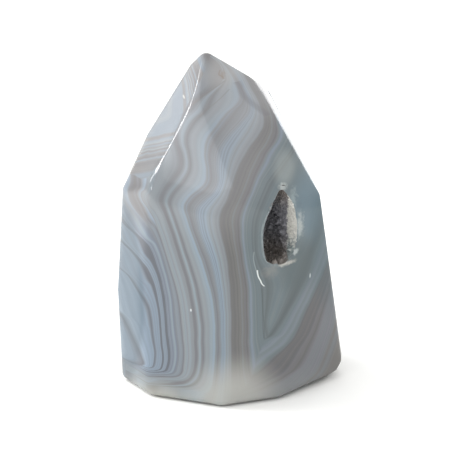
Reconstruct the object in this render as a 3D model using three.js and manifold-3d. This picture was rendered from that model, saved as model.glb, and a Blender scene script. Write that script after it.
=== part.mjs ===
// A polished agate point, cut from a geode, with an open pocket lined with quartz crystals.
// Millimetres, +Z up. The stone stands on its flat base at z = 0, and its front faces -Y.
import * as THREE from 'three';
import { ConvexGeometry } from 'three/addons/geometries/ConvexGeometry.js';
import { mergeVertices } from 'three/addons/utils/BufferGeometryUtils.js';
import Module from 'manifold-3d';

// Each polished facet: the compass angle that it faces, measured from +X towards +Y, its lean upwards from
// upright, both in degrees, and its reach, the distance of its plane from the middle of the base.
const FACETS = {
  leftUpper: { facing: -151, lean: 5, reach: 27.3 },
  leftLower: { facing: -148, lean: -2.5, reach: 23.7 },
  front: { facing: -111, lean: -0.5, reach: 19.6 },
  rightFront: { facing: -71, lean: 0, reach: 18.5 },
  right: { facing: -47, lean: 0.5, reach: 19.6 },
  backRight: { facing: 26, lean: 10.5, reach: 26.1 },
  back: { facing: 88, lean: 4, reach: 20.4 },
  backLeft: { facing: 140, lean: 0, reach: 19.7 },
  tipLeft: { facing: -164, lean: 33, reach: 47.6 },
  shoulder: { facing: -107, lean: 19, reach: 34.9 },
  tipFront: { facing: -102, lean: 30.5, reach: 43.6 },
  tipRightFront: { facing: -48, lean: 39, reach: 45.1 },
  tipCrest: { facing: -37, lean: 44, reach: 50.0 },
  tipRight: { facing: -15, lean: 37, reach: 46.7 },
  tipBack: { facing: 83, lean: 31.5, reach: 47.7 },
  tipBackLeft: { facing: 151, lean: 25.5, reach: 44.4 },
  base: { facing: 0, lean: -90, reach: 0 },
};

// How far the polishing wheel has rounded the edges. A corner takes the first radius here that fits it.
const EDGE_RADIUS = 2.0;
const OTHER_EDGE_RADII = [
  { between: ['tipLeft', 'tipFront'], radius: 1.0 },
  { between: ['tipLeft', 'tipRightFront'], radius: 1.0 },
  { between: ['tipLeft', 'shoulder'], radius: 1.0 },
  { between: ['leftUpper', 'shoulder'], radius: 1.2 },
  { between: ['front', 'base'], radius: 2.5 },
  { between: ['rightFront', 'base'], radius: 3 },
  { between: ['front', 'rightFront'], radius: 5 },
  { between: ['rightFront', 'right'], radius: 6 },
  { between: ['right', 'backRight'], radius: 5 },
  { between: ['backRight', 'back'], radius: 4 },
  { between: ['back', 'backLeft'], radius: 4 },
  { between: ['tipFront', 'tipRightFront'], radius: 6 },
  { between: ['tipRightFront', 'tipCrest'], radius: 5 },
  { between: ['rightFront', 'tipRightFront'], radius: 5 },
];
const ROUNDING_STEPS = 5;
const TOUCHING = 1e-6;
const LEAST_DETERMINANT = 1e-4;
const MERGE_DISTANCE = 1e-5;

// The pocket opens at the right of the front. Its axis points out of the mouth, and its middle is given
// across and up from that axis, and out along it, from the middle of the base.
const POCKET_FACING = -50;
const POCKET_LEAN = 15;
const POCKET_MIDDLE = { across: 0.2, up: 36.9, out: 24.5 };
const POCKET_HALF_DEPTH = 9.0;
const POCKET_REACH_OUT = 11;
const POCKET_SPREAD = 0.16;
const POCKET_DRIFT = 1.6;
const POCKET_DETAIL = 8;
const POCKET_WAVES = [
  { around: 3, along: 2.0, size: 0.05 },
  { around: 5, along: -3.5, size: 0.04 },
];
const MOUTH_FULLNESS = 0.12;
const FLOOR_FULLNESS = 0.8;
// The mouth seen from outside, across and up from its middle, from its top round by its left.
const MOUTH_START_TURN = 0.25;
const MOUTH = [[2.9, 9.7], [-1.3, 7.6], [-4.1, 5.0], [-5.5, 1.0], [-5.5, -4.0], [-4.2, -8.0], [0.0, -9.6],
  [4.0, -8.0], [6.1, -2.8], [5.9, 2.5], [4.6, 6.8]];

// The quartz lining: a layer on the pocket's wall, thicker at the right, and the crystals that stand on it.
const LINING_GAP = 0.3;
const LINING_THICKNESS = 1.2;
const LINING_SHIFT = -0.7;
const LINING_DETAIL = 4;
const CRYSTAL_COUNT = 160;
const CRYSTAL_HIGHEST = 0.25;
const CRYSTAL_RADIUS = 0.8;
const CRYSTAL_HEIGHT = 1.0;
const CRYSTAL_ROOT = 0.4;
const CRYSTAL_SIZE_SPREAD = 0.35;
const CRYSTAL_TILT = 0.45;
const CRYSTAL_SIDES = 6;
const GOLDEN_ANGLE = Math.PI * (3 - Math.sqrt(5));
const TILT_PACES = [3, 5, 7];
const SIZE_PACE = 11;

const radians = THREE.MathUtils.degToRad;

function direction(facing, lean) {
  const level = Math.cos(radians(lean));
  return new THREE.Vector3(
    Math.cos(radians(facing)) * level,
    Math.sin(radians(facing)) * level,
    Math.sin(radians(lean)),
  );
}

const wasm = await Module();
wasm.setup();

function toSolid(geometry) {
  const bare = geometry.clone();
  bare.deleteAttribute('normal');
  bare.deleteAttribute('uv');
  const merged = mergeVertices(bare, MERGE_DISTANCE);
  const vertProperties = new Float32Array(merged.attributes.position.array);
  const triVerts = new Uint32Array(merged.index.array);
  return new wasm.Manifold(new wasm.Mesh({ numProp: 3, vertProperties, triVerts }));
}

function toGeometry(solid) {
  const { vertProperties, triVerts } = solid.getMesh();
  const geometry = new THREE.BufferGeometry();
  geometry.setAttribute('position', new THREE.BufferAttribute(vertProperties, 3));
  geometry.setIndex(new THREE.BufferAttribute(triVerts, 1));
  geometry.computeVertexNormals();
  return geometry;
}

// The stone is the hull of one ball in each corner, tangent to the facets that meet there.
function facetPlanes() {
  return Object.entries(FACETS).map(([name, { facing, lean, reach }]) => (
    { name, normal: direction(facing, lean), reach }
  ));
}

function cornerRadius(planes) {
  const names = planes.map((plane) => plane.name);
  const own = OTHER_EDGE_RADII.find(({ between }) => between.every((name) => names.includes(name)));
  return own ? own.radius : EDGE_RADIUS;
}

function cornerBall(planes) {
  const [a, b, c] = planes.map((plane) => plane.normal);
  const determinant = a.dot(b.clone().cross(c));
  if (Math.abs(determinant) < LEAST_DETERMINANT) return null;
  const radius = cornerRadius(planes);
  const [reachA, reachB, reachC] = planes.map((plane) => plane.reach - radius);
  const centre = b.clone().cross(c).multiplyScalar(reachA)
    .addScaledVector(c.clone().cross(a), reachB)
    .addScaledVector(a.clone().cross(b), reachC)
    .divideScalar(determinant);
  return { centre, radius, normals: [a, b, c] };
}

function ballPoints({ centre, radius, normals }) {
  const points = [];
  for (let i = 0; i <= ROUNDING_STEPS; i += 1) {
    for (let j = 0; j <= ROUNDING_STEPS - i; j += 1) {
      const outward = normals[0].clone().multiplyScalar(i)
        .addScaledVector(normals[1], j)
        .addScaledVector(normals[2], ROUNDING_STEPS - i - j)
        .normalize();
      points.push(centre.clone().addScaledVector(outward, radius));
    }
  }
  return points;
}

function polishedBody() {
  const planes = facetPlanes();
  const points = [];
  for (let i = 0; i < planes.length; i += 1) {
    for (let j = i + 1; j < planes.length; j += 1) {
      for (let k = j + 1; k < planes.length; k += 1) {
        const ball = cornerBall([planes[i], planes[j], planes[k]]);
        const inside = ball && planes.every(({ normal, reach }) => (
          normal.dot(ball.centre) <= reach - ball.radius + TOUCHING
        ));
        if (inside) points.push(...ballPoints(ball));
      }
    }
  }
  return new ConvexGeometry(points);
}

// The pocket's own frame: across to the right of its mouth, up, and out of it.
const pocketOut = direction(POCKET_FACING, POCKET_LEAN);
const pocketAcross = direction(POCKET_FACING + 90, 0);
const pocketUp = new THREE.Vector3().crossVectors(pocketOut, pocketAcross);
const mouthOutline = new THREE.CatmullRomCurve3(
  MOUTH.map(([across, up]) => new THREE.Vector3(across, up, 0)),
  true,
);

function pocketPoint(unit, inset, shift) {
  const ring = Math.hypot(unit.x, unit.y);
  const angle = Math.atan2(unit.y, unit.x);
  const turn = (angle / (2 * Math.PI) + 1 - MOUTH_START_TURN) % 1;
  const rim = mouthOutline.getPoint(turn);
  const depth = Math.max(0, -unit.z);
  const waves = POCKET_WAVES.reduce(
    (sum, wave) => sum + wave.size * Math.sin(wave.around * angle + wave.along * depth),
    0,
  );
  const fullness = unit.z > 0 ? MOUTH_FULLNESS : FLOOR_FULLNESS;
  const size = ring ** fullness * (1 + (POCKET_SPREAD + waves) * depth) - inset / rim.length();
  const across = POCKET_MIDDLE.across + rim.x * Math.max(size, 0) + POCKET_DRIFT * depth + shift;
  const up = POCKET_MIDDLE.up + rim.y * Math.max(size, 0);
  const reachAlong = unit.z > 0 ? POCKET_REACH_OUT : POCKET_HALF_DEPTH - inset;
  const out = POCKET_MIDDLE.out + unit.z * reachAlong;
  return new THREE.Vector3()
    .addScaledVector(pocketAcross, across)
    .addScaledVector(pocketUp, up)
    .addScaledVector(pocketOut, out);
}

function pocketBody(detail, inset, shift) {
  const geometry = new THREE.IcosahedronGeometry(1, detail);
  const position = geometry.attributes.position;
  for (let i = 0; i < position.count; i += 1) {
    const unit = new THREE.Vector3().fromBufferAttribute(position, i);
    const moved = pocketPoint(unit, inset, shift);
    position.setXYZ(i, moved.x, moved.y, moved.z);
  }
  return geometry;
}

// A value between -1 and 1 that varies from one crystal to the next, with a run of its own for each pace.
function variety(index, pace) {
  return Math.sin(pace * (index + 1));
}

// A crystal is a six-sided point whose root is sunk in the lining. It stands on the wall, a little tilted.
function crystal(index) {
  const height = CRYSTAL_HIGHEST - ((1 + CRYSTAL_HIGHEST) * (index + 0.5)) / CRYSTAL_COUNT;
  const ring = Math.sqrt(1 - height * height);
  const angle = index * GOLDEN_ANGLE;
  const unit = new THREE.Vector3(ring * Math.cos(angle), ring * Math.sin(angle), height);
  const inset = LINING_GAP + LINING_THICKNESS;
  const foot = pocketPoint(unit, inset, LINING_SHIFT);
  const inward = pocketPoint(unit, inset + 1, LINING_SHIFT).sub(foot).normalize();
  const tilt = new THREE.Vector3(...TILT_PACES.map((pace) => variety(index, pace)));
  inward.addScaledVector(tilt, CRYSTAL_TILT).normalize();
  const size = 1 + CRYSTAL_SIZE_SPREAD * variety(index, SIZE_PACE);
  const standing = CRYSTAL_HEIGHT * size;
  const cone = new THREE.ConeGeometry(CRYSTAL_RADIUS * size, standing + CRYSTAL_ROOT, CRYSTAL_SIDES);
  cone.rotateY(index);
  cone.translate(0, (standing - CRYSTAL_ROOT) / 2, 0);
  cone.applyQuaternion(new THREE.Quaternion().setFromUnitVectors(new THREE.Vector3(0, 1, 0), inward));
  cone.translate(foot.x, foot.y, foot.z);
  return toSolid(cone);
}

function druzyLining(body) {
  const wall = toSolid(pocketBody(LINING_DETAIL, LINING_GAP, 0));
  const hollow = toSolid(pocketBody(LINING_DETAIL, LINING_GAP + LINING_THICKNESS, LINING_SHIFT));
  let lining = wall.subtract(hollow);
  for (let index = 0; index < CRYSTAL_COUNT; index += 1) {
    lining = lining.add(crystal(index));
  }
  return lining.intersect(wall).intersect(body);
}

const body = toSolid(polishedBody());
const stone = body.subtract(toSolid(pocketBody(POCKET_DETAIL, 0, 0)));
const lining = druzyLining(body);

const agatePolish = new THREE.MeshStandardMaterial({ color: '#8f98a3', roughness: 0.12, metalness: 0 });
const quartzDruse = new THREE.MeshStandardMaterial({ color: '#a9a8a6', roughness: 0.35, metalness: 0 });

const agateStone = new THREE.Mesh(toGeometry(stone), agatePolish);
agateStone.name = 'agate_stone';
const druzyCrust = new THREE.Mesh(toGeometry(lining), quartzDruse);
druzyCrust.name = 'druzy_crust';

// The middle of the stone's box stands over the origin.
const box = new THREE.Box3().setFromObject(agateStone);
const middle = box.getCenter(new THREE.Vector3());
const agateGeode = new THREE.Group();
agateGeode.position.set(-middle.x, -middle.y, 0);
agateGeode.add(agateStone, druzyCrust);

export default agateGeode;
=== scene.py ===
"""A polished agate point with an open pocket of quartz crystals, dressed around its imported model."""

import logging
import math
import random
from dataclasses import dataclass
from enum import Enum
from functools import partial

import bmesh
import bpy
from mathutils import Matrix, Vector
from mathutils.bvhtree import BVHTree


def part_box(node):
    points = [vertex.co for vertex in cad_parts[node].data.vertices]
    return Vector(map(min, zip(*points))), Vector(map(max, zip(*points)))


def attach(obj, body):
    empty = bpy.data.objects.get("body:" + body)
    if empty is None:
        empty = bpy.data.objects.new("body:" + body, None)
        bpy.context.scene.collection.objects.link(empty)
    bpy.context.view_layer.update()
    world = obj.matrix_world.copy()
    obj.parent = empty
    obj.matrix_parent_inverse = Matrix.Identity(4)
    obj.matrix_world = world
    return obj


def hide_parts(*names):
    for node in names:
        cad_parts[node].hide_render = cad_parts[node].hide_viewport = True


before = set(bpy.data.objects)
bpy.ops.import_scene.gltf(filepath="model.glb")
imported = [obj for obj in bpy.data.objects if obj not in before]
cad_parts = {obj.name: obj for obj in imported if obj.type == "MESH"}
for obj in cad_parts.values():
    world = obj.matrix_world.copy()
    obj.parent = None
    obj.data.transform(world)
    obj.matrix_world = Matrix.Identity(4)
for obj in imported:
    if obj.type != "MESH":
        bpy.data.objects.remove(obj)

LOG = logging.getLogger("agate_point")

MM = 0.001

# The photograph's camera: 18 degrees above level, in front of the stone.
PHOTO_PIXELS = 460
PIXELS_PER_MM = 4.157
CAMERA_DISTANCE_MM = 450.0
CAMERA_ELEVATION_DEG = 18.0
CAMERA_TARGET_MM = (-0.18, -0.13, 37.97)
SENSOR_MM = 36.0

# The square of the band drawing: places across the stone from -32 to 32 mm, and heights from 0 to 80 mm.
ACROSS_HALF_MM = 32.0
HEIGHT_MM = 80.0

# No line crosses the one before it: it stays at least this much of the drawing's width to its right.
LEAST_LAYER_SHARE = 0.0003

# A noise is about 0.5 on average, and nearly all of it lies between the low and the high value.
NOISE_MEAN = 0.5
NOISE_LOW = 0.3
NOISE_HIGH = 0.7

# Faces that turn by less than about half a degree belong to one ground facet.
SAME_FACET = 0.99996

# Quartz grows as six-sided points.
CRYSTAL_SIDES = 6

# Corners closer than this are one corner, and a cut leaves those closer than the second alone.
MERGE_M = 1e-7
ON_CUT_M = 1e-8

# Short names for types. A source is what a node's input is fed from.
Tree = bpy.types.NodeTree
Shape = bmesh.types.BMesh
Source = bpy.types.Node | bpy.types.NodeSocket


def linear_rgba(colour: str) -> tuple[float, float, float, float]:
    """Turns an sRGB hex colour into linear light.

    Args:
        colour: The colour as "#rrggbb".

    Returns:
        Red, green, blue and an alpha of 1.
    """
    channels = []
    for start in (1, 3, 5):
        value = int(colour[start : start + 2], 16) / 255
        channels.append(value / 12.92 if value <= 0.04045 else ((value + 0.055) / 1.055) ** 2.4)
    return (channels[0], channels[1], channels[2], 1.0)


def add_node(
    tree: Tree, kind: str, inputs: dict[int | str, object] | None = None, **settings: object
) -> bpy.types.Node:
    """Adds one node with its settings, values and links.

    Args:
        tree: The node tree that it goes in.
        kind: The node's type name, after the "ShaderNode" that each begins with.
        inputs: The value of each input, by its name or number, or the output or node that feeds it. A node
            feeds it from its first output that is in use.
        **settings: The node's own settings.

    Returns:
        The new node.
    """
    node = tree.nodes.new(f"ShaderNode{kind}")
    for name, value in settings.items():
        setattr(node, name, value)
    for key, value in (inputs or {}).items():
        if isinstance(value, bpy.types.Node):
            value = next(output for output in value.outputs if output.enabled)
        if isinstance(value, bpy.types.NodeSocket):
            tree.links.new(value, node.inputs[key])
        else:
            node.inputs[key].default_value = value
    return node


def bare_material(name: str) -> bpy.types.Material:
    """Makes a material with nothing in its node tree yet.

    Args:
        name: The material's name.

    Returns:
        The material.
    """
    made = bpy.data.materials.new(name)
    made.use_nodes = True
    made.node_tree.nodes.clear()
    return made


class Tone(Enum):
    """The tones of this agate's layers."""

    SKY = "#91a1b1"
    BLUE = "#8494a4"
    HAZE = "#7e8a98"
    STEEL = "#7b8590"
    DUSK = "#747b86"
    SLATE = "#646870"
    FROST = "#8d9eab"
    MIST = "#8b979f"
    PEARL = "#8f979c"
    ASH = "#868c92"
    LEAD = "#7a7f84"
    UMBER = "#737377"
    BARK = "#6b6a6b"
    OLIVE = "#737371"
    LAGOON = "#748084"
    SHALLOWS = "#6d7b81"
    TEAL = "#6b777b"
    DEEP_TEAL = "#60696c"
    ABYSS = "#586267"
    PLUM = "#646468"
    HEATHER = "#7b7d84"
    MOSS = "#777573"
    TAN = "#716f70"
    FAWN = "#7f7e7e"
    CLOUD = "#818d98"


@dataclass(frozen=True)
class BandLine:
    """A line between two layers, as pairs of a height and a place across, both in millimetres."""

    name: str
    places: tuple[tuple[float, float], ...]


# Layers as pairs of a place and a tone. A place is a count of lines, with the share of the way to the next.
Layers = tuple[tuple[float, Tone], ...]


def line_from(name: str, table: str) -> BandLine:
    """Reads a band line.

    Args:
        name: The line's name.
        table: Its pairs, with commas between them.

    Returns:
        The band line.
    """
    pairs = (entry.split() for entry in table.split(","))
    return BandLine(name, tuple((float(height), float(across)) for height, across in pairs))


def layers_from(table: str) -> Layers:
    """Reads a table of layers.

    Args:
        table: Their pairs, with commas between them.

    Returns:
        The layers.
    """
    pairs = (entry.split() for entry in table.split(","))
    return tuple((float(place), Tone[name]) for place, name in pairs)


# The lines that run down the left and the middle of the stone, from its left to the pocket.
LEFT_LINES = (
    line_from("outer", "80 -31.9, 0 -31.9"),
    line_from("low_left", "80 -31, 19 -30, 18 -27, 15 -24.5, 13 -23.2, 10 -21.5, 8 -21, 6 -31"),
    line_from("left_a", """
        80 -31, 31 -31, 29.6 -28, 29 -24.6, 27 -22, 25.2 -20.5, 23.5 -19.6, 21 -19, 17 -18.6, 9 -18.3,
        8 -18.8, 7.2 -31
    """),
    line_from("left_b", """
        80 -30, 38 -30, 36.2 -27, 35.7 -25, 34.4 -21.6, 33 -20, 31 -18.9, 27 -17.7, 22 -16.9, 15 -16.5,
        8.6 -16.4, 7.6 -17, 6.8 -31
    """),
    line_from("left_c", """
        80 -29, 44 -29, 41.5 -26.5, 40.4 -24, 39.4 -20.3, 38 -19.1, 34 -17.6, 30 -16.5, 25 -15.7,
        18 -15.2, 8.4 -15.1, 7.4 -15.8, 6.4 -31
    """),
    line_from("left_d", """
        80 -26, 54 -25, 51.5 -23.6, 49 -24.3, 47.4 -24, 46 -23, 44.6 -20.8, 43.4 -19, 42 -18, 38 -16.3,
        34 -15.2, 28 -13.8, 21 -13.1, 8.2 -13, 7 -14, 6 -31
    """),
    line_from("left_e", """
        80 -22, 54 -19.4, 51.5 -20, 50 -21, 48.6 -20.5, 47.4 -19, 46 -18, 43.2 -17, 40.3 -16, 37 -15,
        33.5 -14, 27 -12.2, 20 -11.4, 9 -11.1, 7.4 -11.6, 6.2 -13.5, 5.2 -31
    """),
    line_from("left_f", """
        80 -6, 74.7 -2.1, 73.6 -3.6, 72.8 -5.6, 71.6 -8, 70 -9.4, 66 -12.5, 63 -12.4, 60.5 -11.4,
        58 -11.3, 55 -13.2, 52 -15.4, 50 -15.9, 48 -15.2, 45 -14.2, 38 -12, 31 -10, 24 -8.7, 17 -8.2,
        10 -8.3, 7.6 -9, 6 -10.2, 4.7 -12.5, 3.4 -31
    """),
    line_from("middle_g", """
        80 -4, 76 -0.6, 73 1.6, 70.6 2.8, 69.6 2.2, 68 -0.6, 66 -3, 64 -4.9, 61 -5.7, 57 -5.2, 55 -5.5,
        53.4 -6.9, 51 -9.5, 49.2 -10.4, 46.5 -9.8, 40 -7.6, 34 -5.5, 28 -4, 20 -3.2, 12 -3.5, 5 -4.1,
        0 -5.4
    """),
    line_from("middle_g2", """
        80 -3.4, 76 0.2, 73 2.4, 70 4, 68 4.5, 67 4, 65.5 2, 63 -1.5, 61.5 -2.7, 59 -3.2, 55.5 -3,
        53.4 -3.8, 50.6 -6.5, 48.8 -7.8, 45 -7.6, 40 -5.9, 34 -4, 28 -3, 20 -2.4, 12 -2.5, 5 -3.2, 0 -4.4
    """),
    line_from("middle_h", """
        80 -2, 76 2, 72 4.6, 68 6.9, 65.6 7.8, 64.2 7.7, 63 6.8, 61 4.5, 58.4 2.2, 55 0.3, 51 -1.2,
        49 -2.3, 46.5 -2.7, 43 -2.1, 38 -1.1, 31 -0.3, 22 0, 0 0
    """),
    line_from("middle_i", """
        80 0, 76 4.6, 72 7.6, 68 9.6, 64 11.2, 62.4 11.5, 61 11, 59 9, 56 6.9, 53 5, 50 3.5, 47 2.5,
        43 2.5, 38 3, 31 4, 24 4.4, 14 4.6, 8 5.2, 4 7, 0 9
    """),
    line_from("pocket_j", """
        80 6, 72 12, 64 15.5, 60 15.6, 58 14, 56 11.4, 54 9, 52 7.5, 49.5 6.1, 47 5.3, 43 4.9, 39 5.1,
        34 6, 30 7, 25 7.4, 18 7.6, 14 8.6, 8 10, 0 12
    """),
    line_from("pocket_p", """
        80 12, 64 18, 58 16.5, 55 14, 52.4 11.6, 50 9.8, 47 8.4, 44 7.6, 40 7.3, 37 7.7, 34.5 9.4,
        30 12.2, 25 10.8, 20 9.4, 14 12, 0 18
    """),
)

# The lines that run up to the right from under the pocket, from the pocket outwards.
RIGHT_LINES = (
    line_from("right_p", """
        80 31, 60 30, 52 22, 46 18.6, 40 17.6, 36 16, 32.6 13.5, 29.5 12.4, 25 10.8, 20 9.2, 16.6 7, 12 0,
        0 -20
    """),
    line_from("right_j", """
        80 31.4, 60 31, 50 24, 45 22.3, 40 21.3, 35 19.6, 30.8 18.2, 26.6 16.1, 22 13.2, 18.3 10.6,
        17 9.4, 16.2 7.2, 12 -1, 0 -24
    """),
    line_from("right_i", """
        80 31.5, 60 31.2, 40 26.5, 32 23.2, 26.6 20.7, 20.3 17.3, 17 15.6, 15 14.4, 13.4 12.2, 11.8 9.8,
        10.1 7.8, 8.2 5.2, 5 -2, 0 -26
    """),
    line_from("right_h", """
        80 31.6, 60 31.3, 34 26.4, 26 24.4, 20.3 22.7, 14.1 20.5, 11 19.1, 8.7 17.8, 7 16.2, 6 13.6,
        4.8 10.6, 3.6 7.6, 2 -1, 0 -28
    """),
    line_from("right_g", "80 31.7, 34 28, 22 25.2, 14 23.2, 8 21, 4.5 19, 2.5 15.8, 0 9"),
    line_from("right_outer", "80 31.9, 30 31.5, 14 27.5, 6 24.8, 2.5 23, 0 19"),
)

# From the stone's left to the pocket.
LEFT_LAYERS = layers_from("""
    0 SKY, 0.55 SKY, 0.75 BLUE, 0.9 DUSK, 1 SLATE,
    1.12 STEEL, 1.3 SKY, 1.6 BLUE, 1.91 BLUE, 1.95 STEEL, 1.99 SLATE, 2.08 SLATE, 2.18 STEEL, 2.28 BLUE,
    2.4 HAZE, 2.55 BLUE, 2.7 HAZE, 2.82 BLUE, 2.9 STEEL, 2.95 SLATE, 3 SLATE,
    3.12 SLATE, 3.2 STEEL, 3.3 BLUE, 3.38 STEEL, 3.5 BLUE, 3.62 STEEL, 3.74 BLUE, 3.84 SLATE, 4 SLATE,
    4.12 SLATE, 4.18 HAZE, 4.22 DUSK, 4.32 HAZE, 4.42 DUSK, 4.54 HAZE, 4.66 MIST, 4.78 HAZE, 4.9 DUSK,
    5 LEAD,
    5.12 STEEL, 5.26 ASH, 5.38 HAZE, 5.48 ASH, 5.6 STEEL, 5.74 LEAD, 5.84 UMBER, 5.92 LEAD, 6 ASH,
    6.1 PEARL, 6.22 MIST, 6.34 ASH, 6.44 PEARL, 6.54 MIST, 6.64 ASH, 6.78 ASH, 6.87 LEAD, 6.94 UMBER,
    7 UMBER,
    7.06 LEAD, 7.11 ASH, 7.16 MIST, 7.21 MIST, 7.27 LEAD, 7.33 UMBER, 7.38 LEAD, 7.45 ASH, 7.52 PEARL,
    7.59 ASH, 7.68 MIST, 7.76 MIST, 7.83 FROST, 7.9 FROST, 7.95 ASH, 8 LEAD,
    8.08 STEEL, 8.18 LEAD, 8.32 UMBER, 8.5 LEAD, 8.66 LEAD, 8.76 ASH, 8.84 LEAD, 8.92 ASH, 9 STEEL,
    9.06 MIST, 9.1 HAZE, 9.15 FROST, 9.2 HAZE, 9.26 FROST, 9.32 HAZE, 9.4 FROST, 9.5 MIST, 9.58 ASH,
    9.66 MIST, 9.74 PEARL, 9.83 ASH, 9.93 ASH, 10 LEAD,
    10.07 OLIVE, 10.15 BARK, 10.26 BARK, 10.33 OLIVE, 10.39 BARK, 10.47 OLIVE, 10.54 OLIVE, 10.6 LEAD,
    10.68 OLIVE, 10.77 UMBER, 10.85 BARK, 10.92 UMBER, 11 LAGOON,
    11.08 HAZE, 11.16 HAZE, 11.28 LAGOON, 11.38 SHALLOWS, 11.47 LAGOON, 11.58 TEAL, 11.7 SHALLOWS,
    11.82 TEAL, 11.92 SHALLOWS, 12 DEEP_TEAL,
    12.15 TEAL, 12.3 DEEP_TEAL, 12.55 TEAL, 12.8 SHALLOWS, 13 LAGOON
""")

# From the outermost layer at the lower right to the pocket, in the same count.
RIGHT_LAYERS = layers_from("""
    8 MOSS, 8.3 LEAD, 8.5 MOSS, 8.7 LEAD, 8.9 HEATHER, 9 HEATHER,
    9.2 LEAD, 9.4 HEATHER, 9.6 LEAD, 9.8 HEATHER, 9.95 UMBER, 10 UMBER,
    10.1 BARK, 10.25 UMBER, 10.35 PLUM, 10.5 BARK, 10.6 PLUM, 10.75 BARK, 10.88 PLUM, 11 TEAL,
    11.08 LAGOON, 11.2 STEEL, 11.35 LAGOON, 11.55 STEEL, 11.75 SHALLOWS, 11.9 TEAL, 12 DEEP_TEAL,
    12.15 ABYSS, 12.35 DEEP_TEAL, 12.6 TEAL, 12.85 SHALLOWS, 13 LAGOON
""")

# High on the left face the same lines turn pale and the layers between them brown.
UPPER_LEFT_LAYERS = layers_from("""
    3 DUSK, 3.2 BLUE, 3.5 HAZE, 3.8 TAN, 4 ASH,
    4.2 BLUE, 4.5 HAZE, 4.7 ASH, 4.86 SKY, 4.94 SKY, 5 ASH,
    5.08 HEATHER, 5.3 TAN, 5.5 HEATHER, 5.62 TAN, 5.74 ASH, 5.84 SKY, 5.93 SKY, 6 ASH,
    6.1 PEARL, 6.22 MIST, 6.34 ASH, 6.44 PEARL, 6.6 PEARL, 6.78 ASH, 6.87 LEAD, 6.94 UMBER, 7 UMBER
""")

# On the tip's left facet, by millimetres along the facet's own direction of growth.
TIP_LAYERS = layers_from("""
    56 TAN, 57.2 ASH, 57.6 CLOUD, 57.95 CLOUD, 58.3 FAWN, 58.7 FAWN, 59.5 TAN, 59.75 FAWN, 59.92 CLOUD,
    60.08 ASH, 60.2 TAN, 60.6 FAWN, 60.8 CLOUD, 60.95 FAWN, 61.1 TAN, 61.3 PEARL, 61.5 FAWN, 61.8 CLOUD,
    62 FAWN, 62.2 PEARL, 62.55 CLOUD, 62.8 FAWN, 63.1 FAWN, 63.35 CLOUD, 63.8 CLOUD, 64.4 CLOUD,
    64.9 CLOUD, 65.6 PEARL, 66.4 CLOUD, 67.4 CLOUD, 68.6 PEARL, 70 CLOUD
""")

# Where the tip's left facet ends, and where its upper layers turn to stand on end.
TIP_EDGE = line_from("tip_edge", """
    80 -4.5, 76.3 -6.4, 70 -10.1, 64 -13.1, 59.5 -15.2, 57 -17.2, 54.8 -18.8, 53.4 -20.5, 52.4 -23,
    51.2 -26, 50.4 -31
""")
TIP_UPRIGHT = line_from("tip_upright", "80 -18.5, 76 -15, 73 -13.2, 70 -12.6, 60 -12.8")


@dataclass(frozen=True)
class Veil:
    """A patch of another tone: its middle and reach across and up the stone, in millimetres.

    All of it is at full strength up to its core, a share of its reach. A ragged one is broken up like frost.
    Some are painted light or painted shade rather than tones of the stone.
    """

    name: str
    tone: str
    strength: float
    middle: tuple[float, float]
    reach: tuple[float, float]
    core: float = 0.3
    ragged: float = 0.0


# Patches that go right through the stone. The light through the foot and the patches named as painted are
# painted light and painted shade; the others are the stone's own tones.
VEILS = (
    Veil("light_through_base", "#a9a9a4", 0.78, (0.5, 0.5), (14.5, 14.5)),
    Veil("light_through_left_foot", "#aaa9a0", 0.8, (-17.0, -1.5), (12.0, 8.0), 0.1),
    Veil("light_through_right_foot", "#8f918f", 0.4, (14.0, -1.0), (16.0, 10.0), 0.1),
    # Painted shade with a blue tint: darkens the whole left face.
    Veil("blue_painted_shade_left_face", "#28414e", 0.45, (-27.5, 24.0), (7.8, 27.0), 0.8),
    # Painted light: the upward-leaning tip made paler, as if lit from above.
    Veil("painted_light_on_tip", "#b3b3b6", 0.22, (-5.0, 62.0), (22.0, 26.0)),
    # Painted shade: darkens the shoulder left of the tip, over the lamps' soft reflection there.
    Veil("painted_shade_on_shoulder", "#62676b", 0.36, (-16.0, 54.0), (6.5, 7.5)),
    # Painted light: the crest of the tip made paler, as if lit from above.
    Veil("painted_light_on_crest", "#b4b4b6", 0.18, (4.0, 71.0), (11.0, 10.0)),
    Veil("brown_upper_left", "#615f5f", 0.48, (-22.0, 48.0), (5.5, 7.5)),
    # Painted sheen: the apex made paler, as a hazy reflection.
    Veil("painted_sheen_on_apex", "#aaa9a7", 0.45, (-1.5, 76.5), (6.5, 5.0)),
    Veil("blue_green_right", "#657a86", 0.6, (18.5, 46.5), (6.0, 11.5)),
    # Painted shade with a dark teal tint: darkens the right side, turned away from the light.
    Veil("painted_shade_right_side", "#3c535b", 0.4, (25.0, 38.0), (8.5, 23.0), 0.5),
    Veil("pale_over_pocket", "#939997", 0.5, (12.6, 55.5), (3.6, 4.6)),
    # Painted shade: darkens the stone below the pocket.
    Veil("painted_shade_under_pocket", "#4a5659", 0.68, (15.5, 33.0), (6.0, 9.5)),
)

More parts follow.
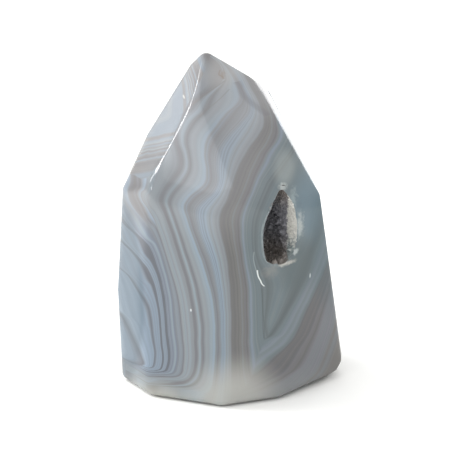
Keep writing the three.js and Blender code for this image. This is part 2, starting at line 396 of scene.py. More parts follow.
# Patches on the front alone: frost by the pocket's mouth, pits and nicks.
FRONT_VEILS = (
    Veil("frosted_rim_right", "#a4aaa8", 0.8, (16.2, 43.0), (1.4, 4.4), 0.0, 1.1),
    Veil("frosted_rim_top_right", "#929e9f", 0.55, (14.5, 49.2), (1.3, 3.0), 0.0, 1.1),
    Veil("frosted_apex", "#a2a7a5", 0.8, (12.2, 52.0), (1.4, 1.0), 0.2, 0.9),
    Veil("frosted_foot", "#b0aea7", 0.85, (12.7, 34.4), (3.3, 0.8), 0.1, 0.9),
    Veil("frosted_nub", "#b2b8b7", 0.65, (15.2, 36.6), (0.9, 1.0), 0.1, 1.3),
    Veil("beige_under_pocket", "#7f7e7a", 0.5, (9.2, 33.2), (2.6, 2.6), 0.0, 0.8),
    Veil("rust_speck", "#8b7c72", 0.45, (-1.9, 75.4), (0.8, 1.0), 0.1, 1.0),
    Veil("pale_pit", "#b4b3ad", 0.8, (-11.0, 71.0), (0.4, 0.35)),
    Veil("white_pit", "#d2d6d6", 0.8, (-9.3, 24.0), (0.28, 0.5)),
    Veil("white_nick", "#c6ccce", 0.7, (18.8, 29.5), (0.2, 0.8)),
)


@dataclass(frozen=True)
class Mark:
    """A thin crack, chip or end of a layer along a line, as wide as its width in millimetres."""

    line: BandLine
    tone: str
    strength: float
    width: float


# Marks on the front alone.
MARKS = (
    Mark(
        line_from("plum_layer_end", "73.5 1.4, 72.6 2.1, 71.3 2.7, 69.6 4.3, 67.8 6.4, 65.9 8.9"),
        "#6b6a70", 0.4, 1.8,
    ),
    Mark(
        line_from("brown_tip_layer", "70.8 -9, 72.2 -7, 73 -4.9, 73.6 -3.1, 74.3 -1.4"),
        "#7d7977", 0.4, 0.7,
    ),
    Mark(line_from("second_tip_layer", "68.4 -7.3, 69.8 -5.3, 70.7 -3.2, 72.5 -0.4"), "#7d7a7a", 0.4, 0.6),
    Mark(line_from("rusty_curl", "76.4 -2.5, 75.7 -2.8, 75.1 -1.9, 74.6 -1.7"), "#86776d", 0.45, 0.5),
    Mark(line_from("hairline_crack", "44 7.6, 42.4 6.3, 41 5.3"), "#566164", 0.6, 0.18),
    Mark(line_from("dark_slit", "29.1 7.3, 26 7.45, 23.3 7.5, 20 7.75, 16.6 7.75"), "#434b4e", 0.6, 0.24),
    Mark(
        line_from("pale_rim", "51 11.1, 47.8 9, 45.4 7.75, 42.8 7.2, 39.6 7.3, 36.6 7.8, 35.4 8.6"),
        "#98a3a4", 0.5, 0.4,
    ),
    Mark(line_from("old_chip_edge", "38.4 5.4, 36.5 5.3, 34.4 5.75, 33 6.2"), "#8c989b", 0.5, 0.3),
    Mark(
        line_from("white_chip", "33.8 6.15, 33 6.2, 32 6.45, 31.1 6.9, 30.3 7.2, 29.6 7.85"),
        "#dfe4e3", 0.85, 0.34,
    ),
)


@dataclass(frozen=True)
class BandedAgate:
    """Agate, a banded chalcedony, sawn, ground on a wheel and polished by hand.

    The layers run through the stone from front to back, at the places of the band drawing. Patches of other
    tones and of painted light and shade lie over them, and frost, chips and cracks over the front alone.
    """

    name: str = "polished_banded_agate"
    ior: float = 1.54
    # The polish gives a glassy skin with sharp highlights, a little duller where it is worn. Real scratches
    # are too fine to show, so the wear is drawn as patches.
    roughness: tuple[float, float] = (0.06, 0.11)
    wear_mm: float = 3.0
    # The wheel leaves the flats wavy by some hundredths of a millimetre, which bends reflections.
    wave_mm: float = 0.03
    wave_strength: float = 0.3
    # Light goes a little way into the stone, which softens the layers.
    glow_weight: float = 0.18
    glow_reach_mm: float = 1.6
    # Light lost inside the stone darkens all its tones.
    depth_gain: float = 0.73
    # Real frost has grains of about 0.1 mm, drawn coarser so that they show.
    frost_grain_mm: float = 1.3
    # Frost, chips and cracks fade out just before this depth.
    front_to_mm: float = 6.5
    front_fade_mm: float = 1.0
    # Grown layers ripple a little, and behind the part in view they fold more and more.
    ripple_mm: float = 0.35
    ripple_length_mm: float = 5.0
    fold_mm: float = 17.0
    fold_length_mm: float = 26.0
    fold_from_mm: float = 7.0
    fold_to_mm: float = 21.0
    # The tones of the left and the right lines meet over this share of a layer.
    seam_share: float = 0.12
    # Between these heights the layers before this line turn brown.
    brown_from_mm: float = 42.5
    brown_to_mm: float = 46.5
    brown_up_to_line: float = 7.0
    # On the tip's left facet the layers rise to the left, and further up they bend and stand on end.
    tip_edge_mm: float = 0.2
    tip_rise: float = 0.7
    tip_left_mm: float = 15.0
    upright_rise: float = 0.67
    upright_at_mm: float = 64.2
    tip_bend_mm: float = 1.6
    # A mark is full up to the first share of its half width, and gone by the second.
    mark_full_share: float = 0.4
    mark_gone_share: float = 1.3
    # Real agate has layers of a few hundredths of a millimetre, drawn only as fine as the render can show.
    fine_lines_per_interval: float = 9.0
    fine_line_contrast: float = 0.12

    def material(self) -> bpy.types.Material:
        """Builds the material.

        Returns:
            The material.
        """
        made = bare_material(self.name)
        add = partial(add_node, made.node_tree)
        drawing = BandDrawing(self, made.node_tree)
        drawing.lay_bands()
        drawing.lay_tip()
        drawing.lay_fine_lines()
        drawing.lay_patches()
        inputs = {"Vector": drawing.place, "Scale": 1 / self.wear_mm, "Detail": 3.0, "Roughness": 0.6}
        wear = add("TexNoise", inputs)
        inputs = {"Value": wear, "From Min": NOISE_LOW, "From Max": NOISE_HIGH}
        roughness = add("MapRange", {**inputs, "To Min": self.roughness[0], "To Max": self.roughness[1]})
        inputs = {"Height": wear, "Strength": self.wave_strength, "Distance": self.wave_mm * MM}
        waves = add("Bump", inputs)
        inputs = {
            "Base Color": drawing.colour,
            "Roughness": roughness,
            "Normal": waves,
            "IOR": self.ior,
            "Subsurface Weight": self.glow_weight,
            "Subsurface Radius": (1.0, 1.0, 1.0),
            "Subsurface Scale": self.glow_reach_mm * MM,
        }
        add("OutputMaterial", {"Surface": add("BsdfPrincipled", inputs)})
        return made


class BandDrawing:
    """The drawing of the bands in the agate's node tree, where each step lays more over the colour so far."""

    def __init__(self, finish: BandedAgate, tree: Tree) -> None:
        """Finds the place on the stone, and where it lies in the band drawing.

        Args:
            finish: The finish.
            tree: The material's node tree.
        """
        self.finish = finish
        self.add = partial(add_node, tree)
        self.place = self.rippled_place()
        self.axes = self.add("SeparateXYZ", {0: self.place}).outputs
        inputs = {0: self.axes["X"], 1: 0.5 / ACROSS_HALF_MM, 2: 0.5}
        self.across = self.add("Math", inputs, operation="MULTIPLY_ADD")
        self.height = self.add("Math", {0: self.axes["Z"], 1: HEIGHT_MM}, operation="DIVIDE")
        self.colour: Source | None = None
        self.count: Source | None = None

    def rippled_place(self) -> Source:
        """Finds the place on the stone, rippled as grown layers are and folded behind.

        Returns:
            The place in millimetres.
        """
        finish = self.finish
        metres = self.add("TexCoord").outputs["Object"]
        millimetres = self.add("VectorMath", {0: metres, "Scale": 1 / MM}, operation="SCALE")
        depth = self.add("SeparateXYZ", {0: millimetres}).outputs["Y"]
        depths = {"From Min": finish.fold_from_mm, "From Max": finish.fold_to_mm, "To Max": finish.fold_mm}
        behind = self.add("MapRange", {"Value": depth, **depths}, interpolation_type="SMOOTHSTEP")
        shifts = []
        for length, detail in ((finish.ripple_length_mm, 1.0), (finish.fold_length_mm, 0.0)):
            inputs = {"Vector": millimetres, "Scale": 1 / length, "Detail": detail}
            noise = self.add("TexNoise", inputs).outputs["Color"]
            shifts.append(self.add("VectorMath", {0: noise, 1: (NOISE_MEAN,) * 3}, operation="SUBTRACT"))
        inputs = {0: shifts[0], 1: (finish.ripple_mm,) * 3, 2: millimetres}
        rippled = self.add("VectorMath", inputs, operation="MULTIPLY_ADD")
        folded = self.add("VectorMath", {0: shifts[1], "Scale": behind}, operation="SCALE")
        return self.add("VectorMath", {0: rippled, 1: folded}, operation="ADD")

    def crossing(self, line: BandLine) -> Source:
        """Finds where a band line runs at this height.

        Args:
            line: The band line.

        Returns:
            Its place across the stone, from 0 at the left of the band drawing to 1 at the right.
        """
        node = self.add("FloatCurve", {"Value": self.height}, label=line.name)
        curve = node.mapping.curves[0]
        places = sorted((up / HEIGHT_MM, 0.5 + across / (2 * ACROSS_HALF_MM)) for up, across in line.places)
        for _ in places[2:]:
            curve.points.new(0.5, 0.5)
        for point, place in zip(curve.points, places):
            point.location = place
        node.mapping.extend = "HORIZONTAL"
        node.mapping.update()
        return node

    def steps_across(self, lines: tuple[BandLine, ...]) -> Source:
        """Counts the intervals crossed from the first line, with the share of the one that a place is in.

        Args:
            lines: The lines, from left to right.

        Returns:
            The count.
        """
        crossings = [self.crossing(lines[0])]
        for line in lines[1:]:
            least = self.add("Math", {0: crossings[-1], 1: LEAST_LAYER_SHARE}, operation="ADD")
            crossings.append(self.add("Math", {0: self.crossing(line), 1: least}, operation="MAXIMUM"))
        total: Source | float = 0.0
        for near, far in zip(crossings, crossings[1:]):
            share = self.add("MapRange", {"Value": self.across, "From Min": near, "From Max": far})
            total = self.add("Math", {0: total, 1: share}, operation="ADD")
        return total

    def lay_bands(self) -> None:
        """Colours the layers of both runs of lines, which meet where their counts are the same."""
        finish = self.finish
        left = self.steps_across(LEFT_LINES)
        inputs = {0: len(LEFT_LINES) - 1.0, 1: self.steps_across(RIGHT_LINES)}
        right = self.add("Math", inputs, operation="SUBTRACT")
        self.count = self.add("Math", {0: left, 1: right}, operation="MINIMUM")
        lead = self.add("Math", {0: left, 1: right}, operation="SUBTRACT")
        inputs = {"Value": lead, "From Min": -finish.seam_share, "From Max": finish.seam_share}
        side = self.add("MapRange", inputs, interpolation_type="SMOOTHSTEP")
        heights = {"From Min": finish.brown_from_mm / HEIGHT_MM, "From Max": finish.brown_to_mm / HEIGHT_MM}
        high = self.add("MapRange", {"Value": self.height, **heights}, interpolation_type="SMOOTHSTEP")
        outer = self.add("Math", {0: self.count, 1: finish.brown_up_to_line}, operation="LESS_THAN")
        brown = self.add("Math", {0: high, 1: outer}, operation="MULTIPLY")
        self.colour = self.layered(LEFT_LAYERS)
        for share, layers in ((brown, UPPER_LEFT_LAYERS), (side, RIGHT_LAYERS)):
            inputs = {"Factor": share, "A": self.colour, "B": self.layered(layers)}
            self.colour = self.add("Mix", inputs, data_type="RGBA")

    def layered(self, layers: Layers) -> Source:
        """Colours a run of layers, with one colour ramp from each line to the next.

        Args:
            layers: The layers.

        Returns:
            The colour.
        """
        colour = None
        for number in range(int(layers[0][0]), int(layers[-1][0])):
            inputs = {"Value": self.count, "From Min": float(number), "From Max": number + 1.0}
            ramp = self.add("ValToRGB", {"Fac": self.add("MapRange", inputs)})
            within = [(at - number, tone) for at, tone in layers if number <= at <= number + 1]
            self.fill_ramp(ramp.color_ramp, within)
            if colour is None:
                colour = ramp
                continue
            past = self.add("Math", {0: self.count, 1: float(number)}, operation="GREATER_THAN")
            colour = self.add("Mix", {"Factor": past, "A": colour, "B": ramp}, data_type="RGBA")
        return colour

    @staticmethod
    def fill_ramp(ramp: bpy.types.ColorRamp, layers: list[tuple[float, Tone]]) -> None:
        """Puts layers on a colour ramp, the first at its start and the last at its end.

        Args:
            ramp: The colour ramp.
            layers: The layers, with their places from 0 to 1.
        """
        ramp.elements[0].color = linear_rgba(layers[0][1].value)
        ramp.elements[-1].color = linear_rgba(layers[-1][1].value)
        for at, tone in layers[1:-1]:
            ramp.elements.new(at).color = linear_rgba(tone.value)

    def lay_tip(self) -> None:
        """Lays the tip's left facet over the other layers, which it cuts at another angle."""
        finish = self.finish
        width = 2 * ACROSS_HALF_MM
        behind = self.add("Math", {0: self.crossing(TIP_EDGE), 1: self.across}, operation="SUBTRACT")
        inputs = {"Value": behind, "From Min": 0.0, "From Max": finish.tip_edge_mm / width}
        on_facet = self.add("MapRange", inputs)
        inputs = {0: self.axes["X"], 1: -finish.tip_rise, 2: self.axes["Z"]}
        rising = self.add("Math", inputs, operation="MULTIPLY_ADD")
        inputs = {0: rising, 1: -finish.tip_rise * finish.tip_left_mm}
        rising = self.add("Math", inputs, operation="ADD")
        beyond = self.add("Math", {0: self.across, 1: self.crossing(TIP_UPRIGHT)}, operation="SUBTRACT")
        inputs = {0: beyond, 1: -finish.upright_rise * width, 2: finish.upright_at_mm}
        standing = self.add("Math", inputs, operation="MULTIPLY_ADD")
        inputs = {0: rising, 1: standing, 2: finish.tip_bend_mm}
        along = self.add("Math", inputs, operation="SMOOTH_MIN")
        first, last = TIP_LAYERS[0][0], TIP_LAYERS[-1][0]
        share = self.add("MapRange", {"Value": along, "From Min": first, "From Max": last})
        ramp = self.add("ValToRGB", {"Fac": share})
        self.fill_ramp(ramp.color_ramp, [((at - first) / (last - first), tone) for at, tone in TIP_LAYERS])
        self.colour = self.add("Mix", {"Factor": on_facet, "A": self.colour, "B": ramp}, data_type="RGBA")
        self.count = self.add("Mix", {"Factor": on_facet, "A": self.count, "B": along}, data_type="FLOAT")

    def lay_fine_lines(self) -> None:
        """Adds the finest layers, which are too many to draw one by one, and darkens all of them."""
        finish = self.finish
        inputs = {"W": self.count, "Scale": finish.fine_lines_per_interval, "Detail": 2.0, "Roughness": 0.6}
        noise = self.add("TexNoise", inputs, noise_dimensions="1D")
        inputs = {
            "Value": noise,
            "From Min": NOISE_LOW,
            "From Max": NOISE_HIGH,
            "To Min": finish.depth_gain * (1 - finish.fine_line_contrast / 2),
            "To Max": finish.depth_gain * (1 + finish.fine_line_contrast / 2),
        }
        gain = self.add("MapRange", inputs)
        self.colour = self.add("VectorMath", {0: self.colour, "Scale": gain}, operation="SCALE")

    def lay_patches(self) -> None:
        """Lays the patches over all the stone, some of them painted light and shade, and then the patches and
        marks over its front.
        """
        finish = self.finish
        inputs = {"Vector": self.place, "Scale": 1 / finish.frost_grain_mm, "Detail": 5.0, "Roughness": 0.75}
        grain = self.add("TexNoise", inputs)
        for veil in VEILS:
            self.lay_veil(veil, grain)
        layered = self.colour
        for veil in FRONT_VEILS:
            self.lay_veil(veil, grain)
        for mark in MARKS:
            self.lay_mark(mark)
        depths = {"From Min": finish.front_to_mm, "From Max": finish.front_to_mm - finish.front_fade_mm}
        front = self.add("MapRange", {"Value": self.axes["Y"], **depths})
        self.colour = self.add("Mix", {"Factor": front, "A": layered, "B": self.colour}, data_type="RGBA")

    def lay_veil(self, veil: Veil, grain: Source) -> None:
        """Lays one soft patch.

        Args:
            veil: The patch.
            grain: The frost's noise.
        """
        (across, up), (half_width, half_height) = veil.middle, veil.reach
        inputs = {
            0: self.place,
            1: (1 / half_width, 0.0, 1 / half_height),
            2: (-across / half_width, 0.0, -up / half_height),
        }
        away = self.add("VectorMath", inputs, operation="MULTIPLY_ADD", label=veil.name)
        far = self.add("VectorMath", {0: away}, operation="LENGTH")
        if veil.ragged:
            far = self.add("Math", {0: grain, 1: -2 * veil.ragged, 2: far}, operation="MULTIPLY_ADD")
            far = self.add("Math", {0: far, 1: veil.ragged}, operation="ADD")
        fade = {"From Min": veil.core, "From Max": 1.0, "To Min": veil.strength, "To Max": 0.0}
        share = self.add("MapRange", {"Value": far, **fade}, interpolation_type="SMOOTHSTEP")
        inputs = {"Factor": share, "A": self.colour, "B": linear_rgba(veil.tone)}
        self.colour = self.add("Mix", inputs, data_type="RGBA")

    def lay_mark(self, mark: Mark) -> None:
        """Lays one thin crack or chip.

        Args:
            mark: The mark.
        """
        offset = self.add("Math", {0: self.across, 1: self.crossing(mark.line)}, operation="SUBTRACT")
        distance = self.add("Math", {0: offset}, operation="ABSOLUTE")
        half = mark.width / (4 * ACROSS_HALF_MM)
        full, gone = self.finish.mark_full_share, self.finish.mark_gone_share
        fade = {"From Min": half * full, "From Max": half * gone, "To Min": mark.strength, "To Max": 0.0}
        near = self.add("MapRange", {"Value": distance, **fade})
        heights = [up / HEIGHT_MM for up, _ in mark.line.places]
        middle = (max(heights) + min(heights)) / 2
        reach = (max(heights) - min(heights)) / 2
        beside = self.add("Math", {0: self.height, 1: middle, 2: reach}, operation="COMPARE")
        share = self.add("Math", {0: near, 1: beside}, operation="MULTIPLY")
        inputs = {"Factor": share, "A": self.colour, "B": linear_rgba(mark.tone)}
        self.colour = self.add("Mix", inputs, data_type="RGBA")


@dataclass(frozen=True)
class QuartzDruse:
    """Quartz, grown as tiny six-sided points in the pocket: smoky in the deep and milky at its right."""

    name: str = "quartz_druse"
    ior: float = 1.544
    # Grown faces are glassy but never polished, so some points glint and the others look dusty.
    roughness: tuple[float, float] = (0.18, 0.42)
    # Real growth steps are some hundredths of a millimetre apart, drawn coarser so that they show.
    grain_mm: float = 0.6
    growth_mm: float = 0.05
    growth_strength: float = 0.4
    smoky: str = "#808086"
    brown: str = "#78726d"
    milky: str = "#cfcec8"
    clear: str = "#858f90"
    # The milky quartz begins between these places across, with a ragged border.
    milky_from_mm: float = 13.15
    milky_to_mm: float = 13.45
    ragged_mm: float = 1.8
    # It is clearer below the first height and milky above the second, in mottles between them.
    clear_to_mm: float = 37.0
    milky_above_mm: float = 40.5
    mottle_mm: float = 9.0
    # The smoky quartz is greyest at this height, and turns brown at these distances above and below.
    grey_middle_mm: float = 43.0
    brown_from_mm: float = 3.0
    brown_to_mm: float = 7.5

    def material(self) -> bpy.types.Material:
        """Builds the material, milky towards the pocket's right wall and smoky elsewhere.

        Returns:
            The material.
        """
        made = bare_material(self.name)
        add = partial(add_node, made.node_tree)
        place = add("TexCoord").outputs["Object"]
        axes = add("SeparateXYZ", {0: place})
        inputs = {"Vector": place, "Scale": 1 / (self.grain_mm * MM), "Detail": 2.0}
        grain = add("TexNoise", inputs)
        inputs = {0: grain, 1: self.ragged_mm * MM, 2: axes.outputs["X"]}
        ragged = add("Math", inputs, operation="MULTIPLY_ADD")
        inputs = {
            "Value": ragged,
            "From Min": (self.milky_from_mm + self.ragged_mm / 2) * MM,
            "From Max": (self.milky_to_mm + self.ragged_mm / 2) * MM,
        }
        milkiness = add("MapRange", inputs)
        inputs = {0: axes.outputs["Z"], 1: self.grey_middle_mm * MM}
        above = add("Math", inputs, operation="SUBTRACT")
        away = add("Math", {0: above}, operation="ABSOLUTE")
        inputs = {"Value": away, "From Min": self.brown_from_mm * MM, "From Max": self.brown_to_mm * MM}
        browning = add("MapRange", inputs)
        inputs = {"Factor": browning, "A": linear_rgba(self.smoky), "B": linear_rgba(self.brown)}
        dark = add("Mix", inputs, data_type="RGBA")
        inputs = {0: grain, 1: self.mottle_mm * MM, 2: axes.outputs["Z"]}
        mottled = add("Math", inputs, operation="MULTIPLY_ADD")
        inputs = {
            "Value": mottled,
            "From Min": (self.clear_to_mm + self.mottle_mm / 2) * MM,
            "From Max": (self.milky_above_mm + self.mottle_mm / 2) * MM,
        }
        clearing = add("MapRange", inputs)
        inputs = {"Factor": clearing, "A": linear_rgba(self.clear), "B": linear_rgba(self.milky)}
        pale = add("Mix", inputs, data_type="RGBA")
        colour = add("Mix", {"Factor": milkiness, "A": dark, "B": pale}, data_type="RGBA")
        inputs = {"Value": grain, "From Min": NOISE_LOW, "From Max": NOISE_HIGH}
        roughness = add("MapRange", {**inputs, "To Min": self.roughness[0], "To Max": self.roughness[1]})
        inputs = {"Height": grain, "Strength": self.growth_strength, "Distance": self.growth_mm * MM}
        growth = add("Bump", inputs)
        inputs = {"Base Color": colour, "Roughness": roughness, "Normal": growth, "IOR": self.ior}
        add("OutputMaterial", {"Surface": add("BsdfPrincipled", inputs)})
        return made


def merged_copy(node_name: str) -> Shape:
    """Copies a node of the frame with its shared corners merged.

    Args:
        node_name: The node's name.

    Returns:
        The copy, to be freed by the caller.
    """
    shape = bmesh.new()
    shape.from_mesh(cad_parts[node_name].data)
    bmesh.ops.remove_doubles(shape, verts=shape.verts, dist=MERGE_M)
    bmesh.ops.recalc_face_normals(shape, faces=shape.faces)
    shape.normal_update()
    return shape


def add_piece(shape: Shape, name: str, materials: list[bpy.types.Material]) -> bpy.types.Object:
    """Puts a finished shape in the scene and frees it.

    Args:
        shape: The shape, in metres, in the frame's own place.
        name: The piece's name.
        materials: Its materials.

    Returns:
        The piece.
    """
    mesh = bpy.data.meshes.new(name)
    shape.to_mesh(mesh)
    shape.free()
    for material in materials:
        mesh.materials.append(material)
    piece = bpy.data.objects.new(name, mesh)
    bpy.context.scene.collection.objects.link(piece)
    return piece


@dataclass(frozen=True)
class Facet:
    """A flat that the wheel has ground: the direction that it faces, and how far out it lies."""

    normal: Vector
    reach: float

    def depth(self, point: Vector) -> float:
        """How deep under the facet a point lies."""
        return self.reach - self.normal.dot(point)


def ground_facets(shape: Shape, least_area: float) -> list[Facet]:
    """Finds the stone's ground flats among its faces.

    Args:
        shape: The stone.
        least_area: The area that the smallest of them has, in square metres.

    Returns:
        The facets.
    """
    facets: list[Facet] = []
    areas: list[float] = []
    for face in sorted(shape.faces, key=lambda face: -face.calc_area()):
        same = [number for number, facet in enumerate(facets) if facet.normal.dot(face.normal) > SAME_FACET]
        if same:
            areas[same[0]] += face.calc_area()
        else:
            facets.append(Facet(face.normal.copy(), face.normal.dot(face.verts[0].co)))
            areas.append(face.calc_area())
    return [facet for facet, area in zip(facets, areas) if area >= least_area]


@dataclass
class AgateBody:
    """The stone: facets that a hand polish has left a little soft, and the pocket's mouth."""

    finish: BandedAgate
    # The smallest facet is larger than this, and the faces of the polished edges are smaller.
    facet_area_mm2: float = 60.0
    # How far from an edge the light turns from one facet's direction to the next.
    soft_reach_mm: float = 0.8
    # What lies deeper than this is the pocket's wall, and keeps its own direction.
    pocket_depth_mm: float = 1.6
    # The first cut is a spacing less this share of it from the stone's side, so it misses the corners.
    cut_spacing_mm: float = 2.0
    cut_shift: float = 0.37
    edge_reach_mm: float = 2.0
    edge_spacing_mm: float = 0.75
    # The facet that faces this way most has the long highlight on its edges, which needs the finest mesh.
    lit_normal: tuple[float, float, float] = (-0.8, 0.1, 0.6)
    lit_spacing_mm: float = 0.17
    halvings: int = 4

    def build(self) -> bpy.types.Object:
        """Makes the stone's piece and dresses it.

        Returns:
            The piece.
        """
        shape = merged_copy("agate_stone")
        facets = ground_facets(shape, self.facet_area_mm2 * MM * MM)
        LOG.info("the stone has %d ground facets", len(facets))
        self.cut_finely(shape)
        self.cut_edges_finely(shape, facets, facets, self.edge_spacing_mm)
        lit = max(facets, key=lambda facet: facet.normal.dot(Vector(self.lit_normal)))
        self.cut_edges_finely(shape, facets, [lit], self.lit_spacing_mm)
        normals = [self.soft_normal(vert, facets) for vert in shape.verts]
        piece = add_piece(shape, "polished_agate_point", [self.finish.material()])
        piece.data.polygons.foreach_set("use_smooth", [True] * len(piece.data.polygons))
        piece.data.normals_split_custom_set_from_vertices(normals)
        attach(piece, "root")
        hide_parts("agate_stone")
        return piece

    def cut_finely(self, shape: Shape) -> None:
        """Cuts the big flats into small faces, so that the light can turn softly across them.

        Args:
            shape: The stone.
        """
        low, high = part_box("agate_stone")
        for axis in range(3):
            normal = Vector([1.0 if axis == other else 0.0 for other in range(3)])
            steps = int((high[axis] - low[axis]) / (self.cut_spacing_mm * MM))
            for step in range(1, steps + 1):
                place = normal * (low[axis] + (step - self.cut_shift) * self.cut_spacing_mm * MM)
                bmesh.ops.bisect_plane(
                    shape,
                    geom=[*shape.verts, *shape.edges, *shape.faces],
                    dist=ON_CUT_M,
                    plane_co=place,
                    plane_no=normal,
                )
        shape.normal_update()

    def cut_edges_finely(
        self, shape: Shape, facets: list[Facet], along: list[Facet], spacing: float
    ) -> None:
        """Halves the mesh's longer lines by the facets' edges, where the light turns fastest.

        Args:
            shape: The stone.
            facets: Its facets.
            along: The facets whose edges are cut.
            spacing: The length in millimetres that needs no more cutting.
        """
        for _ in range(self.halvings):
            near = set()
            for vert in shape.verts:
                order = sorted(facets, key=lambda facet: facet.depth(vert.co))
                by_edge = order[1].depth(vert.co) < self.edge_reach_mm * MM
                if by_edge and (order[0] in along or order[1] in along):
                    near.add(vert)
            least = spacing * MM
            long = [edge for edge in shape.edges if edge.calc_length() > least]
            edges = [edge for edge in long if near.issuperset(edge.verts)]
            bmesh.ops.subdivide_edges(shape, edges=edges, cuts=1, use_grid_fill=True)

    def soft_normal(self, vert: bmesh.types.BMVert, facets: list[Facet]) -> Vector:
        """The direction that the polished surface faces at a point, turned softly from facet to facet.

        Args:
            vert: The point.
            facets: The stone's facets.

        Returns:
            The direction, of length 1.
        """
        depths = [facet.depth(vert.co) for facet in facets]
        nearest = min(depths)
        if nearest > self.pocket_depth_mm * MM:
            return vert.normal.copy()
        total = Vector()
        for facet, depth in zip(facets, depths):
            total += facet.normal * math.exp((nearest - depth) / (self.soft_reach_mm * MM))
        return total.normalized()


@dataclass
class DruzyCrust:
    """The quartz crust in the pocket, with its cut rim and its many small crystals."""

    finish: QuartzDruse
    rim_finish: BandedAgate
    # The crust's outer wall lies nearer to the stone than the gap, and is sunk into it by the overlap.
    gap_mm: float = 0.42
    overlap_mm: float = 0.12
    # The mouth opens outwards from this place across and up, and keeps a wall.
    mouth_foot_mm: tuple[float, float] = (13.5, 41.0)
    widened_share: float = 0.1
    least_wall_mm: float = 0.5
    # The cut rim lies less deep than this, and faces nearly the same way as the facet over it.
    rim_depth_mm: float = 0.5
    rim_facing: float = 0.9
    # Real points of this size number some thousands, and are grown in batches to keep the making quick.
    crystal_count: int = 9000
    batch: int = 200
    crystal_radius_mm: tuple[float, float] = (0.12, 0.3)
    crystal_height_mm: tuple[float, float] = (0.2, 0.45)
    least_depth_mm: float = 0.4
    tilt: float = 0.4
    sunk_share: float = 0.25
    seed: int = 11

    def build(self) -> bpy.types.Object:
        """Makes the crust's piece and dresses it.

        Returns:
            The piece.
        """
        stone = merged_copy("agate_stone")
        facets = ground_facets(stone, AgateBody.facet_area_mm2 * MM * MM)
        shape = merged_copy("druzy_crust")
        self.fit(shape, stone, facets)
        stone.free()
        for face in shape.faces:
            face.smooth = False
            if self.is_cut(face, facets):
                face.material_index = 1
        self.grow_crystals(shape, facets)
        piece = add_piece(shape, "quartz_crust", [self.finish.material(), self.rim_finish.material()])
        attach(piece, "root")
        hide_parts("druzy_crust")
        return piece

    def is_cut(self, face: bmesh.types.BMFace, facets: list[Facet]) -> bool:
        """Whether the wheel has cut a face of the crust with the stone around it.

        Args:
            face: The face.
            facets: The stone's facets.

        Returns:
            True for a face that lies with a facet and faces the same way.
        """
        over = min(facets, key=lambda facet: facet.depth(face.calc_center_median()))
        deepest = max(min(facet.depth(vert.co) for facet in facets) for vert in face.verts)
        return deepest < self.rim_depth_mm * MM and face.normal.dot(over.normal) > self.rim_facing

    def fit(self, shape: Shape, stone: Shape, facets: list[Facet]) -> None:
        """Fits the crust to the stone that it grew on, and opens its mouth a little upwards.

        Args:
            shape: The crust.
            stone: The stone.
            facets: The stone's facets.
        """
        wall = BVHTree.FromBMesh(stone)
        foot = Vector((self.mouth_foot_mm[0] * MM, 0.0, self.mouth_foot_mm[1] * MM))
        for vert in shape.verts:
            place, _, _, distance = wall.find_nearest(vert.co)
            if distance < self.gap_mm * MM:
                vert.co += (place - vert.co).normalized() * (distance + self.overlap_mm * MM)
                continue
            over = min(facets, key=lambda facet: facet.depth(vert.co))
            push = (vert.co - foot) * self.widened_share
            push.y = 0.0
            push -= over.normal * push.dot(over.normal)
            _, _, _, room = wall.ray_cast(vert.co - over.normal * self.gap_mm * MM, push)
            if room is not None:
                reach = max(0.0, min(push.length, room - self.least_wall_mm * MM))
                vert.co += push.normalized() * reach
        shape.normal_update()

    def grow_crystals(self, shape: Shape, facets: list[Facet]) -> None:
        """Grows small six-sided points on the crust's inner face.

        Args:
            shape: The crust, which the points are added to.
            facets: The stone's facets, so that none stands out of the mouth.
        """
        low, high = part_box("druzy_crust")
        centre = (low + high) / 2
        seats = []
        for face in shape.faces:
            middle = face.calc_center_median()
            depth = min(facet.depth(middle) for facet in facets)
            if face.normal.dot(centre - middle) > 0 and depth > self.least_depth_mm * MM:
                corners = [vert.co.copy() for vert in face.verts]
                seats.append((face.calc_area(), face.normal.copy(), corners))
        areas = [seat[0] for seat in seats]
        chance = random.Random(self.seed)
        grown = bpy.data.meshes.new("crystals")
        for _ in range(self.crystal_count // self.batch):
            points = bmesh.new()
            for _, normal, corners in chance.choices(seats, weights=areas, k=self.batch):
                self.grow_crystal(points, chance, normal, corners)
            points.to_mesh(grown)
            points.free()
            shape.from_mesh(grown)
        bpy.data.meshes.remove(grown)

    def grow_crystal(
        self, points: Shape, chance: random.Random, normal: Vector, corners: list[Vector]
    ) -> None:
        """Grows one point at a chance place on a face.

        Args:
            points: The mesh that it is added to.
            chance: The source of chance.
            normal: The direction that the face faces.
            corners: The face's corners.
        """
        shares = [chance.random() for _ in corners]
        place = sum((corner * share for corner, share in zip(corners, shares)), Vector()) / sum(shares)
        lean = Vector([chance.uniform(-self.tilt, self.tilt) for _ in range(3)])
        axis = (normal + lean).normalized()
        height = chance.uniform(*self.crystal_height_mm) * MM
        seat = Matrix.Translation(place + axis * height * (0.5 - self.sunk_share))
        turn = axis.to_track_quat("Z", "Y").to_matrix().to_4x4()
        spin = Matrix.Rotation(chance.uniform(0, 2 * math.pi / CRYSTAL_SIDES), 4, "Z")
        bmesh.ops.create_cone(
            points,
            cap_ends=False,
            segments=CRYSTAL_SIDES,
            radius1=chance.uniform(*self.crystal_radius_mm) * MM,
            radius2=0.0,
            depth=height,
            matrix=seat @ turn @ spin,
        )


@dataclass(frozen=True)
class SoftBox:
    """A soft box that shines on the middle of the stone, with its sizes in metres.

    Its place is measured from that middle, its size is its width and height, and its width lies along across.
    """

    name: str
    place: tuple[float, float, float]
    size: tuple[float, float]
    watts: float
    across: tuple[float, float, float] = (0.0, -1.0, 0.1)


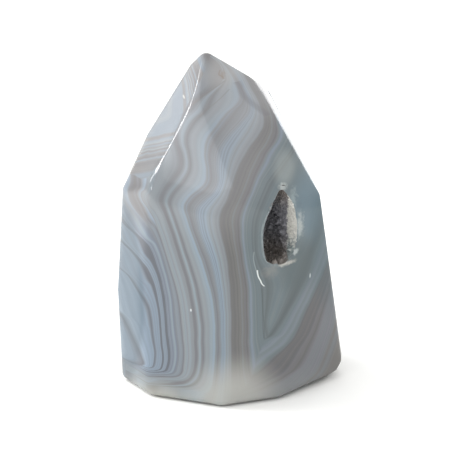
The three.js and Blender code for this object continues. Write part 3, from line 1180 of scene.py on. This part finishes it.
# Five narrow boxes at the left lie where the tip's left edge mirrors them to the camera, from its top to the
# stone's foot, which draws the long highlight. The last two light the back and the top.
SOFT_BOXES = (
    SoftBox("tip_top_strip", (-0.36, 0.185, 0.44), (0.25, 0.07), 0.78, (-0.19, -0.045, -0.155)),
    SoftBox("tip_edge_strip", (-0.495, 0.06, 0.335), (0.2, 0.115), 1.0, (-0.096, -0.03, -0.142)),
    SoftBox("tip_foot_strip", (-0.543, 0.04, 0.25), (0.28, 0.075), 0.86),
    SoftBox("shoulder_strip", (-0.573, 0.05, 0.16), (0.09, 0.12), 0.3),
    SoftBox("left_edge_strip", (-0.608, -0.12, 0.05), (0.03, 0.04), 0.06),
    SoftBox("back_box", (0.48, 0.63, 0.13), (0.4, 0.4), 2.6),
    SoftBox("top_box", (-0.2, -0.28, 0.72), (1.2, 1.2), 4.2),
)


@dataclass
class Studio:
    """A floor of pale paper, soft lights and the photograph's camera."""

    # Matt paper: it shows a soft shadow and no reflection.
    floor_colour: str = "#f2f2f0"
    floor_roughness: float = 0.9
    floor_half_m: float = 3.0
    sky_strength: float = 0.92
    clip_start_m: float = 0.01

    def build(self) -> None:
        """Makes the floor, the lights and the camera."""
        bpy.context.scene.view_settings.view_transform = "Standard"
        self.floor()
        self.sky()
        for box in SOFT_BOXES:
            self.hang(box)
        self.camera()

    def floor(self) -> None:
        """Makes the floor that the stone stands on."""
        mesh = bpy.data.meshes.new("floor")
        shape = bmesh.new()
        bmesh.ops.create_grid(shape, x_segments=1, y_segments=1, size=self.floor_half_m)
        shape.to_mesh(mesh)
        shape.free()
        paper = bpy.data.materials.new("pale_paper")
        paper.use_nodes = True
        shader = paper.node_tree.nodes["Principled BSDF"]
        shader.inputs["Base Color"].default_value = linear_rgba(self.floor_colour)
        shader.inputs["Roughness"].default_value = self.floor_roughness
        mesh.materials.append(paper)
        piece = bpy.data.objects.new("floor", mesh)
        bpy.context.scene.collection.objects.link(piece)

    def sky(self) -> None:
        """Makes the even white light all round."""
        world = bpy.data.worlds.new("white_room")
        world.use_nodes = True
        background = world.node_tree.nodes["Background"]
        background.inputs["Color"].default_value = (1.0, 1.0, 1.0, 1.0)
        background.inputs["Strength"].default_value = self.sky_strength
        bpy.context.scene.world = world

    @staticmethod
    def hang(box: SoftBox) -> None:
        """Hangs one soft box.

        Args:
            box: The soft box.
        """
        light = bpy.data.lights.new(box.name, "AREA")
        light.shape = "RECTANGLE"
        light.size, light.size_y = box.size
        light.energy = box.watts
        lamp = bpy.data.objects.new(box.name, light)
        place = Vector(box.place)
        across = Vector(box.across)
        back = place.normalized()
        side = (across - back * across.dot(back)).normalized()
        turn = Matrix((side, back.cross(side), back)).transposed().to_4x4()
        lamp.matrix_world = Matrix.Translation(Vector(CAMERA_TARGET_MM) * MM + place) @ turn
        bpy.context.scene.collection.objects.link(lamp)

    def camera(self) -> None:
        """Places the photograph's camera."""
        data = bpy.data.cameras.new("photo_camera")
        data.sensor_width = SENSOR_MM
        data.lens = SENSOR_MM * PIXELS_PER_MM * CAMERA_DISTANCE_MM / PHOTO_PIXELS
        data.clip_start = self.clip_start_m
        eye = bpy.data.objects.new("photo_camera", data)
        elevation = math.radians(CAMERA_ELEVATION_DEG)
        back = Vector((0.0, -math.cos(elevation), math.sin(elevation)))
        eye.location = (Vector(CAMERA_TARGET_MM) + back * CAMERA_DISTANCE_MM) * MM
        eye.rotation_euler = (math.radians(90) - elevation, 0.0, 0.0)
        bpy.context.scene.collection.objects.link(eye)
        bpy.context.scene.camera = eye


def main() -> None:
    """Builds the stone, its crust and the studio, in that order."""
    logging.basicConfig(level=logging.INFO, format="%(name)s: %(message)s")
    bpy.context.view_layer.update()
    agate = BandedAgate()
    for piece in (AgateBody(agate).build(), DruzyCrust(QuartzDruse(), agate).build()):
        LOG.info("%s has %d faces", piece.name, len(piece.data.polygons))
    Studio().build()


if __name__ == "__main__":
    main()
